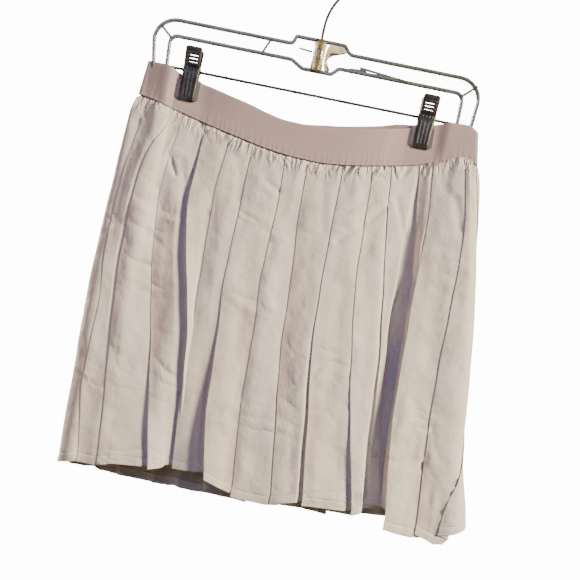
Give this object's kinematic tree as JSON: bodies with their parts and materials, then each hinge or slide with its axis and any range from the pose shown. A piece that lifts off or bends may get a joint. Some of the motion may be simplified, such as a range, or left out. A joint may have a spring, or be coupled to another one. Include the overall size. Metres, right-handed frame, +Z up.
{
  "type": "tennis skirt on a clip hanger",
  "caption": "Short knife-pleated tennis skirt with a gathered elastic waistband, hanging from a clear hanger by spring clips.",
  "frame": {"origin": "inner top of the hanger's hook, where a rail holds it", "axes": "+X along the hanger's rod towards the wearer's left, +Y from the skirt's front to its back, +Z up"},
  "size_m": [0.4449, 0.0701, 0.6016],
  "materials": {
    "pleated_cloth": "matt fine plain weave, pale warm beige",
    "waist_elastic": "smooth covered elastic, gathered, mauve beige",
    "clear_plastic": "clear moulded plastic, glossy",
    "dark_steel": "blackened wire",
    "clip_steel": "gunmetal plated sheet",
    "soft_vinyl": "translucent soft vinyl"
  },
  "bodies": {
    "root": {"skirt_front": "pleated_cloth", "skirt_back": "pleated_cloth", "waistband": "waist_elastic", "hanger_body": "clear_plastic", "hanger_rod": "dark_steel", "hanger_hook": "dark_steel", "clip_left_front": "clip_steel", "clip_left_back": "clip_steel", "clip_left_spring": "clip_steel", "clip_left_pad_front": "soft_vinyl", "clip_left_pad_back": "soft_vinyl", "clip_right_front": "clip_steel", "clip_right_back": "clip_steel", "clip_right_spring": "clip_steel", "clip_right_pad_front": "soft_vinyl", "clip_right_pad_back": "soft_vinyl"}
  },
  "joints": []
}
